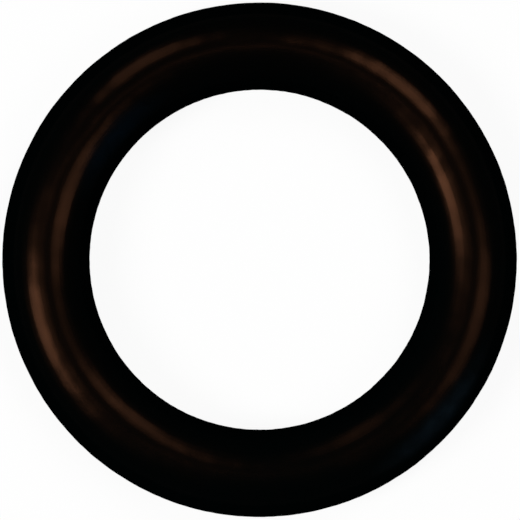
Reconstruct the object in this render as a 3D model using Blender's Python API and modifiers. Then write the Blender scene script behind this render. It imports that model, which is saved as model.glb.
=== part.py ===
"""Rubber seal ring of round section (an O-ring), compression moulded in one piece.

Run it with: blender --background --python part.py
Sizes are in metres, +Z is up. The ring lies flat, and the origin is its own centre: on its
axis and at half its height, in the plane where the two halves of the mould met.
"""

from math import asin, cos, pi, radians, sin

import bpy

# The two sizes that a seal ring is ordered by.
INSIDE_DIAMETER = 0.01387
SECTION_DIAMETER = 0.00353

# The parting line: the low ridge all round the inside and the outside, where the mould closed.
PARTING_HEIGHT = 0.000025  # how far its crest stands out of the round section
PARTING_CREST_WIDTH = 0.00008
PARTING_FLANK_WIDTH = 0.00004  # across each slope, from the crest down to the round section

# Facets. Each face, upper and lower, has one level side at its crown and as many to its left
# as to its right. So the ring has its exact height, and a level foot to rest on.
SIDES_BESIDE_CROWN = 9
STEPS_AROUND = 96
SMOOTH_BELOW = radians(15)  # wider than a facet's turn, narrower than the parting line's edges

RUBBER_COLOUR = (0.0020, 0.0015, 0.0013, 1.0)
RUBBER_ROUGHNESS = 0.32

SECTION_RADIUS = SECTION_DIAMETER / 2
CENTRELINE_RADIUS = INSIDE_DIAMETER / 2 + SECTION_RADIUS
PARTING_FOOT_WIDTH = PARTING_CREST_WIDTH + 2 * PARTING_FLANK_WIDTH
SIDES_OVER_FACE = 2 * SIDES_BESIDE_CROWN + 1


def clear_scene():
    """Remove whatever the file opened with."""
    for old in list(bpy.data.objects):
        bpy.data.objects.remove(old)


def round_face(start, end):
    """Corners over one face of the section, between two angles from the outward direction.

    They stand just outside the true circle, so that each side touches it at its middle.
    """
    step = (end - start) / SIDES_OVER_FACE
    reach = SECTION_RADIUS / cos(step / 2)
    angles = [start + i * step for i in range(SIDES_OVER_FACE + 1)]
    return [(CENTRELINE_RADIUS + reach * cos(a), reach * sin(a)) for a in angles]


def parting_crest(side):
    """The two corners of the ridge's crest; side is 1 on the outside and -1 on the inside."""
    radius = CENTRELINE_RADIUS + side * (SECTION_RADIUS + PARTING_HEIGHT)
    height = side * PARTING_CREST_WIDTH / 2
    return [(radius, height), (radius, -height)]


def section_outline():
    """The section's closed outline as (radius, height): over the top, and back underneath."""
    foot = asin(PARTING_FOOT_WIDTH / SECTION_DIAMETER)
    upper = round_face(pi - foot, foot)
    lower = round_face(-foot, foot - pi)
    return upper + parting_crest(1) + lower + parting_crest(-1)


def outline_object(name, outline):
    """A closed outline of (radius, height) corners, standing in the plane through +X and Z."""
    corners = [(radius, 0, height) for radius, height in outline]
    edges = [(i, (i + 1) % len(corners)) for i in range(len(corners))]
    mesh = bpy.data.meshes.new(name)
    mesh.from_pydata(corners, edges, [])
    return bpy.data.objects.new(name, mesh)


def turn_about_axis(piece):
    """Turn an outline once around Z into a closed body, smooth apart from its true edges."""
    screw = piece.modifiers.new("turn", "SCREW")
    screw.angle = 2 * pi
    screw.steps = screw.render_steps = STEPS_AROUND
    depsgraph = bpy.context.evaluated_depsgraph_get()
    piece.data = bpy.data.meshes.new_from_object(piece.evaluated_get(depsgraph))
    piece.modifiers.clear()
    piece.data.shade_smooth()
    piece.data.set_sharp_from_angle(angle=SMOOTH_BELOW)


def black_rubber():
    """Black nitrile rubber with the soft gloss that a polished mould leaves."""
    rubber = bpy.data.materials.new("black_rubber")
    rubber.use_nodes = True
    shader = rubber.node_tree.nodes["Principled BSDF"]
    shader.inputs["Base Color"].default_value = RUBBER_COLOUR
    shader.inputs["Roughness"].default_value = RUBBER_ROUGHNESS
    shader.inputs["Metallic"].default_value = 0.0
    return rubber


def seal_ring(collection):
    """The whole ring, one moulding."""
    ring = outline_object("seal_ring", section_outline())
    collection.objects.link(ring)
    turn_about_axis(ring)
    ring.data.materials.append(black_rubber())


def main():
    clear_scene()
    collection = bpy.data.collections.new("seal ring")
    bpy.context.scene.collection.children.link(collection)
    seal_ring(collection)


main()
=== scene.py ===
"""Looks of the rubber seal ring: its moulded skin, the black rubber, and a plain white studio.

Sizes are in metres, +Z is up, in the ring's own frame: its centre is the origin, it lies flat,
and its foot is half a section below the origin.
"""
import math

import bpy
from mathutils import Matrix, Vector, noise


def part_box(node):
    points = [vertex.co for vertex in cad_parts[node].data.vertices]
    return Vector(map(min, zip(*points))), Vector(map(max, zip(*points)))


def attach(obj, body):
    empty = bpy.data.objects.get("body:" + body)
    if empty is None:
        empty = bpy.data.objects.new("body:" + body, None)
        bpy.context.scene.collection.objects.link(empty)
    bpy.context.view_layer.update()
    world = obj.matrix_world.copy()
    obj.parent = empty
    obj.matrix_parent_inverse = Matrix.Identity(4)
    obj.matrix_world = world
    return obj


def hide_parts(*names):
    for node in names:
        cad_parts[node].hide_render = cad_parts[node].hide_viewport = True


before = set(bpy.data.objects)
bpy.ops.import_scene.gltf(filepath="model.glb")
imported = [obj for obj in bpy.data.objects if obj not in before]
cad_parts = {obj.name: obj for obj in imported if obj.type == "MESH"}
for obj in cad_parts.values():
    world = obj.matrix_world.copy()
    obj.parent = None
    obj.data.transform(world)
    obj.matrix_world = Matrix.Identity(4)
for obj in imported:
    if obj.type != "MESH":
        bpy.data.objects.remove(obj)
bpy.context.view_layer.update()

MM = 0.001
MICRON = 0.000001

# The ring's own sizes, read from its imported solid.
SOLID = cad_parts["seal_ring"]
LOW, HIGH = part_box("seal_ring")
CREST_OUTSIDE = HIGH.x
CREST_INSIDE = min(math.hypot(v.co.x, v.co.y) for v in SOLID.data.vertices)
CENTRELINE = (CREST_OUTSIDE + CREST_INSIDE) / 2
SECTION = HIGH.z  # the section's radius
CREST_HEIGHT = CREST_OUTSIDE - CENTRELINE - SECTION

# The parting line, where the mould's halves met: its crest wavers as the torn flash left it.
FLASH_HALF_WIDTH = 0.08 * MM
FLASH_LEAST = 0.25  # the lowest stretch of the crest, as a share of the tallest
FLASH_BLUNTNESS = 4  # the power that rounds the crest: the higher, the flatter its top
FLASH_TEARS = (1.1 * MM, 0.25 * MM)  # lengths of the long and the short tears along the ring
FLASH_WANDER = 0.012 * MM  # how far the crest strays up and down in all
FLASH_WANDER_LENGTH = 2.2 * MM
TEAR_SEED, WANDER_SEED = 3.1, 9.7  # the height in the noise at which each of them is read

# Rubber shrinks a little unevenly as it cools, so the skin lies in gentle waves, long and
# short: how deep each lies at most, and how far apart its hollows are. These are guesses,
# chosen to break up the highlights as the photograph's are broken up.
SHRINKAGE = ((30 * MICRON, 2.6 * MM), (17 * MICRON, 0.75 * MM))

# The mesh: steps around the ring, and rows over each face and over each parting line.
AROUND = 900
ROWS_OVER_FACE = 46
ROWS_OVER_FLASH = 8

# The rubber's skin. A turned, polished mould typically leaves grooves about 0.05 mm apart and
# 0.2 micron deep. They are drawn coarser and deeper than that, so that they show.
GROOVE_PITCH = 0.13 * MM
GROOVE_DEPTH = 2.5 * MICRON
GRAIN_WIDTH = 0.16 * MM  # the fine orange peel between them
GRAIN_DEPTH = 2.0 * MICRON
NOISE_LOW, NOISE_HIGH = 0.3, 0.7  # a noise texture lies between these nearly everywhere
FINE_DETAIL, BROAD_DETAIL = 2.0, 3.0  # a noise texture's Detail, in fine and in broad patterns

# Wax that has come out of the rubber, in patches, and more of it on one side of the ring. It is
# a guess at what makes the photograph's highlights fainter on that side. The side, the lean and
# the share that it hides were fitted to those highlights.
WAX_LENGTH = 2.4 * MM
WAX_THICKEST = -80.0  # the middle of that side, as an angle around the ring in degrees
WAX_LEAN = 0.4  # how much thicker it lies there than midway, on the noise's own scale
WAX_HIDES = 0.8  # the share of the gloss that is lost where the wax is thickest

# Its gloss. The IOR is a typical one for nitrile rubber. The specular level and the roughness
# were fitted to the photograph, and that level is far below the usual 0.5.
RUBBER_IOR = 1.52
GLOSS_LEVEL = 0.118
GLOSSIEST, DULLEST = 0.19, 0.285  # roughness, where there is no wax and where there is most

# Layer Weight's Facing is 0 where the skin faces the eye, and 1 at its edge. Up to the first
# of these the gloss is whole, and beyond the second there is none. Both were fitted: plain
# gloss would mirror the white floor on the flanks, and in the photograph they are black.
GLOSS_WHOLE, GLOSS_GONE = 0.08, 0.36
FACING_BLEND = 0.5  # the Blend at which Facing is 1 less the cosine of the angle

# The matt strip along the parting line, where flash was torn off.
TORN_ROUGHNESS = 0.62
TORN_EDGE = 0.05 * MM  # how far the edge of the strip wanders

# Two bluish patches on the flanks: a painted reflection of a low bluish light, mottled in
# blotches. Two bluish patches on the flanks, drawn as a bloom that has dried there, which is
# a guess: the middle of each as an angle around the ring and one around the section from its
# outward side, in degrees, and then its colour.
PAINTED_REFLECTION_PATCHES = ((-41.0, 52.0, "#0A1217"), (140.0, 125.0, "#020A11"))
PAINTED_REFLECTION_REACH_AROUND = 25.0
PAINTED_REFLECTION_REACH_OVER = 25.0
# The painted reflection's strength between its blotches, as a share of its strongest.
PAINTED_REFLECTION_WEAKEST = 0.4  # between the blotches, as a share of the thickest
PAINTED_REFLECTION_BLOTCH = 0.7 * MM

# The photograph: a square of 520 pixels, with the ring's centre and its scale in it.
PHOTO_SIDE = 520
PHOTO_CENTRE = (259.55, 259.8)
PIXELS_PER_MM = 24.547
CAMERA_HEIGHT = 300 * MM
CAMERA_NEAREST = 3 * MM  # nothing nearer to the camera than this is drawn
SENSOR = 36.0  # its width, in millimetres

# Oval softboxes, placed and tuned by the photograph's highlights, as the real lamps aren't
# known: azimuth from +X, tilt from straight up, half width and half height as the ring sees
# them, all in degrees, and the share of the light that each gives.
SOFTBOXES = {
    "key_left": (197.0, 37.0, 8.0, 14.0, 0.475),
    "key_right": (51.0, 31.0, 5.0, 15.0, 0.211),
    "fill_right": (345.0, 30.0, 10.0, 16.0, 0.191),
    "fill_top": (121.0, 41.0, 8.0, 15.0, 0.074),
    "top_light": (195.0, 16.0, 2.0, 10.0, 0.045),
    "overhead": (0.0, 0.0, 5.0, 5.0, 0.004),
}
SOFTBOX_DISTANCE = 600 * MM
LAMP_LEVEL = 0.97  # of the light that shows a colour as it is written
ROOM_LEVEL = 0.03

FLOOR_RADIUS = 3.0
FLOOR_SIDES = 96
SHADOW_SHARE = 0.08  # how much of the paper's own light and shade shows through its white


def linear(hex_colour):
    """A colour written as sRGB hex, as the linear RGBA that Blender works in."""
    parts = [int(hex_colour[i:i + 2], 16) / 255 for i in (1, 3, 5)]
    curve = [c / 12.92 if c <= 0.04045 else ((c + 0.055) / 1.055) ** 2.4 for c in parts]
    return (*curve, 1.0)


def add(tree, kind, settings=None, **sockets):
    """Add one node: settings are its own properties, sockets its inputs.

    An input takes a plain value, an output, or a node, which stands for its first output. In
    an input's name an underscore stands for a space, and a number at the end picks one of
    several inputs that share a name.
    """
    node = tree.nodes.new("ShaderNode" + kind)
    for name, value in (settings or {}).items():
        setattr(node, name, value)
    for name, value in sockets.items():
        words, _, index = name.rpartition("_")
        shared = words if index.isdigit() else name
        named = [s for s in node.inputs if s.enabled and s.name == shared.replace("_", " ")]
        socket = named[int(index) if index.isdigit() else 0]
        if isinstance(value, bpy.types.Node):
            value = next(s for s in value.outputs if s.enabled)
        if isinstance(value, bpy.types.NodeSocket):
            tree.links.new(value, socket)
        else:
            socket.default_value = value
    return node


def empty_material(name):
    """A new material with no nodes in it yet."""
    material = bpy.data.materials.new(name)
    material.use_nodes = True
    material.node_tree.nodes.clear()
    return material


def ragged(angle, length, seed):
    """Smooth noise from 0 to 1 along the ring, whose bumps are about that long."""
    reach = CENTRELINE / length
    place = Vector((math.cos(angle) * reach, math.sin(angle) * reach, seed))
    return min(1.0, max(0.0, 0.5 + noise.noise(place)))


def shrinkage(angle, turn):
    """How far the skin has drawn in from its true round form at a point of the ring."""
    radius = CENTRELINE + SECTION * math.cos(turn)
    place = Vector((math.cos(angle) * radius, math.sin(angle) * radius, SECTION * math.sin(turn)))
    return sum(depth * (0.5 + 0.5 * noise.noise(place / length)) for depth, length in SHRINKAGE)


def face_point(angle, turn):
    """A point of the round skin; turn runs around the section from the outward direction.

    The shrinkage fades out towards the parting line, so that the skin meets the line's foot.
    """
    reach = SECTION - shrinkage(angle, turn) * math.sin(turn) ** 2
    return CENTRELINE + reach * math.cos(turn), reach * math.sin(turn)


def flash_point(angle, side, across):
    """A point of the parting line; across runs from -1 at its upper foot to 1 at its lower."""
    tears = [ragged(angle, length, TEAR_SEED * side) for length in FLASH_TEARS]
    torn = FLASH_LEAST + (1 - FLASH_LEAST) * sum(tears) / len(tears)
    wander = FLASH_WANDER * (ragged(angle, FLASH_WANDER_LENGTH, WANDER_SEED * side) - 0.5)
    crest = CREST_HEIGHT * torn * (1 - across ** FLASH_BLUNTNESS)
    height = -side * across * FLASH_HALF_WIDTH
    foot = math.sqrt(SECTION ** 2 - height ** 2)
    rise = (1 - across ** 2) * wander
    return CENTRELINE + side * (foot + crest), height + rise


def section_at(angle):
    """One closed outline of the section as (radius, height), where the ring is at that angle."""
    foot = math.asin(FLASH_HALF_WIDTH / SECTION)
    points = []
    for start, end, side in ((math.pi - foot, foot, 1), (-foot, foot - math.pi, -1)):
        step = (end - start) / ROWS_OVER_FACE
        points += [face_point(angle, start + i * step) for i in range(ROWS_OVER_FACE + 1)]
        for i in range(1, ROWS_OVER_FLASH):
            points.append(flash_point(angle, side, 2 * i / ROWS_OVER_FLASH - 1))
    return points


def moulded_ring():
    """The ring's skin: a round section carried once around, with its ragged parting line."""
    points, faces = [], []
    for i in range(AROUND):
        angle = 2 * math.pi * i / AROUND
        outline = section_at(angle)
        points += [(r * math.cos(angle), r * math.sin(angle), z) for r, z in outline]
    rows = len(outline)
    for i in range(AROUND):
        here, there = i * rows, (i + 1) % AROUND * rows
        for j in range(rows):
            k = (j + 1) % rows
            faces.append((here + j, here + k, there + k, there + j))
    mesh = bpy.data.meshes.new("moulded_ring")
    mesh.from_pydata(points, [], faces)
    mesh.shade_smooth()
    ring = bpy.data.objects.new("moulded_ring", mesh)
    bpy.context.collection.objects.link(ring)
    return ring


def angles_on_skin(tree, place):
    """Where a point of the skin lies: its angle around the ring, and around the section."""
    parts = add(tree, "SeparateXYZ", Vector=place).outputs
    around = add(tree, "Math", {"operation": "ARCTAN2"}, Value_0=parts["Y"], Value_1=parts["X"])
    level = add(tree, "VectorMath", {"operation": "MULTIPLY"}, Vector_0=place, Vector_1=(1, 1, 0))
    radius = add(tree, "VectorMath", {"operation": "LENGTH"}, Vector=level)
    outward = add(tree, "Math", {"operation": "SUBTRACT"}, Value_0=radius, Value_1=CENTRELINE)
    over = add(tree, "Math", {"operation": "ARCTAN2"}, Value_0=parts["Z"], Value_1=outward)
    return around, over


def wax_film(tree, place, around):
    """How thick the wax lies, from 0 to 1: in patches, and more on one side of the ring."""
    patches = add(tree, "TexNoise", Vector=place, Scale=1 / WAX_LENGTH, Detail=BROAD_DETAIL)
    from_thickest = add(
        tree, "Math", {"operation": "SUBTRACT"},
        Value_0=around, Value_1=math.radians(WAX_THICKEST),
    )
    side = add(tree, "Math", {"operation": "COSINE"}, Value=from_thickest)
    leaning = add(
        tree, "Math", {"operation": "MULTIPLY_ADD"},
        Value_0=side, Value_1=WAX_LEAN, Value_2=patches,
    )
    return add(
        tree, "MapRange",
        Value=leaning, From_Min=NOISE_LOW - WAX_LEAN, From_Max=NOISE_HIGH + WAX_LEAN,
    )


def torn_strip(tree, place, grain):
    """1 on the strip where flash was torn off, and 0 off it. The grain makes its edge ragged."""
    height = add(tree, "SeparateXYZ", Vector=place).outputs["Z"]
    from_parting = add(tree, "Math", {"operation": "ABSOLUTE"}, Value=height)
    edge = add(
        tree, "Math", {"operation": "MULTIPLY_ADD"},
        Value_0=grain, Value_1=TORN_EDGE, Value_2=from_parting,
    )
    return add(
        tree, "MapRange", Value=edge,
        From_Min=FLASH_HALF_WIDTH, From_Max=FLASH_HALF_WIDTH + TORN_EDGE / 2,
        To_Min=1.0, To_Max=0.0,
    )


def painted_reflection_patch(tree, angles, blotches, middle_around, middle_over):
    """How strongly one patch of painted reflection shows: most at its middle, and 0 outside its
    reach.
    """
    middle = (math.radians(middle_around), math.radians(middle_over), 0)
    reach = (math.radians(PAINTED_REFLECTION_REACH_AROUND), math.radians(PAINTED_REFLECTION_REACH_OVER), 1)
    offset = add(tree, "VectorMath", {"operation": "SUBTRACT"}, Vector_0=angles, Vector_1=middle)
    share = add(tree, "VectorMath", {"operation": "DIVIDE"}, Vector_0=offset, Vector_1=reach)
    far = add(tree, "VectorMath", {"operation": "LENGTH"}, Vector=share)
    patch = add(
        tree, "MapRange", {"interpolation_type": "SMOOTHSTEP"},
        Value=far, From_Min=0.0, From_Max=1.0, To_Min=1.0, To_Max=0.0,
    )
    return add(tree, "Math", {"operation": "MULTIPLY"}, Value_0=patch, Value_1=blotches)


def rubber_colour(tree, place, angles, wax, torn):
    """Carbon black, faintly cool, a painted bluish reflection on its flanks, and the greyer torn
    strip.

    The photograph's flanks are all but pure black. These blacks were fitted to them, and are
    far darker than real rubber is.
    """
    colour = add(
        tree, "Mix", {"data_type": "RGBA"},
        Factor=wax, A=linear("#010202"), B=linear("#010303"),
    )
    # A painted reflection of a low bluish light, mottled in blotches, on two patches of the
    # flanks.
    reflection_mottle = add(tree, "TexNoise", Vector=place, Scale=1 / PAINTED_REFLECTION_BLOTCH, Detail=BROAD_DETAIL)
    blotches = add(
        tree, "MapRange",
        Value=reflection_mottle, From_Min=NOISE_LOW, From_Max=NOISE_HIGH, To_Min=PAINTED_REFLECTION_WEAKEST, To_Max=1.0,
    )
    for middle_around, middle_over, painted_reflection_colour in PAINTED_REFLECTION_PATCHES:
        patch = painted_reflection_patch(tree, angles, blotches, middle_around, middle_over)
        colour = add(
            tree, "Mix", {"data_type": "RGBA"},
            Factor=patch, A=colour, B=linear(painted_reflection_colour),
        )
    return add(
        tree, "Mix", {"data_type": "RGBA"},
        Factor=torn, A=colour, B=linear("#15120F"),
    )


def black_nitrile():
    """Nitrile rubber filled with carbon black, pressed in a polished, turned mould.

    To the eye it is black with a narrow, soft gloss of copper brown, which is duller where wax
    has come out on the skin. A bluish reflection is painted on two patches of the flanks. The
    mould's turning marks run around the ring as fine lines, and the torn parting line is matt.
    The gloss fades out where the skin is seen at a glance, which leaves the flanks black.

    The brown, the wax, the painted bluish reflection and that fading follow the photograph. What
    causes the brown, the wax and the fading in the real rubber, or in its light, isn't known.
    """
    material = empty_material("black_nitrile")
    tree = material.node_tree
    place = add(tree, "TexCoord").outputs["Object"]
    around, over = angles_on_skin(tree, place)
    angles = add(tree, "CombineXYZ", X=around, Y=over)

    grooves = add(
        tree, "TexNoise", {"noise_dimensions": "1D"},
        W=over, Scale=SECTION / GROOVE_PITCH, Detail=FINE_DETAIL,
    )
    grain = add(tree, "TexNoise", Vector=place, Scale=1 / GRAIN_WIDTH, Detail=FINE_DETAIL)
    wax = wax_film(tree, place, around)
    torn = torn_strip(tree, place, grain)

    colour = rubber_colour(tree, place, angles, wax, torn)
    dulled = add(tree, "Mix", Factor=wax, A=GLOSSIEST, B=DULLEST)
    roughness = add(tree, "Mix", Factor=torn, A=dulled, B=TORN_ROUGHNESS)
    turned = add(tree, "Bump", Height=grooves, Distance=GROOVE_DEPTH)
    skin = add(tree, "Bump", Height=grain, Distance=GRAIN_DEPTH, Normal=turned)

    glossy = add(
        tree, "BsdfPrincipled",
        Base_Color=colour, Roughness=roughness, Normal=skin,
        IOR=RUBBER_IOR, Specular_IOR_Level=GLOSS_LEVEL, Specular_Tint=linear("#FFA97A"),
    )
    matt = add(
        tree, "BsdfPrincipled",
        Base_Color=colour, Roughness=1.0, Normal=skin, Specular_IOR_Level=0.0,
    )
    facing = add(tree, "LayerWeight", Blend=FACING_BLEND).outputs["Facing"]
    glance = add(
        tree, "MapRange", {"interpolation_type": "SMOOTHSTEP"},
        Value=facing, From_Min=GLOSS_WHOLE, From_Max=GLOSS_GONE, To_Min=0.0, To_Max=1.0,
    )
    waxed = add(tree, "Math", {"operation": "MULTIPLY"}, Value_0=wax, Value_1=WAX_HIDES)
    hidden = add(tree, "Mix", Factor=glance, A=waxed, B=1.0)
    rubber = add(tree, "MixShader", Fac=hidden, Shader_0=glossy, Shader_1=matt)
    add(tree, "OutputMaterial", Surface=rubber)
    return material


def white_sweep_paper():
    """Matt white paper, seen as pure white, on which the ring still lays a faint shadow."""
    material = empty_material("white_sweep_paper")
    tree = material.node_tree
    path = add(tree, "LightPath").outputs
    seen = path["Is Camera Ray"]
    for ray in ("Is Glossy Ray", "Is Transmission Ray"):
        seen = add(tree, "Math", {"operation": "MAXIMUM"}, Value_0=seen, Value_1=path[ray])
    paper = add(tree, "BsdfDiffuse", Color=linear("#FAFAFA"))
    glow = add(tree, "Emission", Color=linear("#FFFFFF"), Strength=1.0)
    shown = add(tree, "MixShader", Fac=SHADOW_SHARE, Shader_0=glow, Shader_1=paper)
    both = add(tree, "MixShader", Fac=seen, Shader_0=paper, Shader_1=shown)
    add(tree, "OutputMaterial", Surface=both)
    return material


def studio_floor():
    """A wide round floor under the ring's foot."""
    bpy.ops.mesh.primitive_circle_add(
        vertices=FLOOR_SIDES, radius=FLOOR_RADIUS, fill_type="NGON",
    )
    floor = bpy.context.object
    floor.name = "studio_floor"
    floor.location.z = LOW.z
    floor.data.materials.append(white_sweep_paper())


def direction(azimuth, tilt):
    """The unit vector at an azimuth from +X and a tilt from straight up, both in degrees."""
    a, t = math.radians(azimuth), math.radians(tilt)
    return Vector((math.sin(t) * math.cos(a), math.sin(t) * math.sin(a), math.cos(t)))


def softbox(name, azimuth, tilt, half_width, half_height, share):
    """One softbox, aimed at the ring, giving its share of the light on the floor."""
    light = bpy.data.lights.new(name, "AREA")
    light.shape = "ELLIPSE"
    light.size = 2 * SOFTBOX_DISTANCE * math.tan(math.radians(half_width))
    light.size_y = 2 * SOFTBOX_DISTANCE * math.tan(math.radians(half_height))
    # An area lamp of power P gives P cos(tilt) / (pi d^2) on the floor, and pi is level 1.
    reach = math.pi * SOFTBOX_DISTANCE ** 2 / math.cos(math.radians(tilt))
    light.energy = math.pi * LAMP_LEVEL * share * reach
    lamp = bpy.data.objects.new(name, light)
    bpy.context.collection.objects.link(lamp)
    towards = direction(azimuth, tilt)
    lamp.location = towards * SOFTBOX_DISTANCE
    lamp.rotation_euler = towards.to_track_quat("Z", "Y").to_euler()


def studio_room():
    """The room around: a plain dim grey."""
    world = bpy.data.worlds.new("studio_room")
    world.use_nodes = True
    background = world.node_tree.nodes["Background"]
    background.inputs["Color"].default_value = linear("#FFFFFF")
    background.inputs["Strength"].default_value = ROOM_LEVEL
    bpy.context.scene.world = world


def photo_camera():
    """Straight above the ring, far off, with the ring where the photograph has it."""
    data = bpy.data.cameras.new("photo_camera")
    data.sensor_width = SENSOR
    data.lens = SENSOR * PIXELS_PER_MM * (CAMERA_HEIGHT / MM) / PHOTO_SIDE
    data.clip_start = CAMERA_NEAREST
    data.clip_end = FLOOR_RADIUS * 2
    camera = bpy.data.objects.new("photo_camera", data)
    bpy.context.collection.objects.link(camera)
    pixel = MM / PIXELS_PER_MM
    camera.location.x = (PHOTO_SIDE / 2 - PHOTO_CENTRE[0]) * pixel
    camera.location.y = (PHOTO_CENTRE[1] - PHOTO_SIDE / 2) * pixel
    camera.location.z = CAMERA_HEIGHT
    bpy.context.scene.camera = camera


photo_camera()
studio_floor()
studio_room()
for name, values in SOFTBOXES.items():
    softbox(name, *values)

ring = moulded_ring()
ring.data.materials.append(black_nitrile())
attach(ring, "root")
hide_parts("seal_ring")

bpy.context.scene.view_settings.view_transform = "Standard"
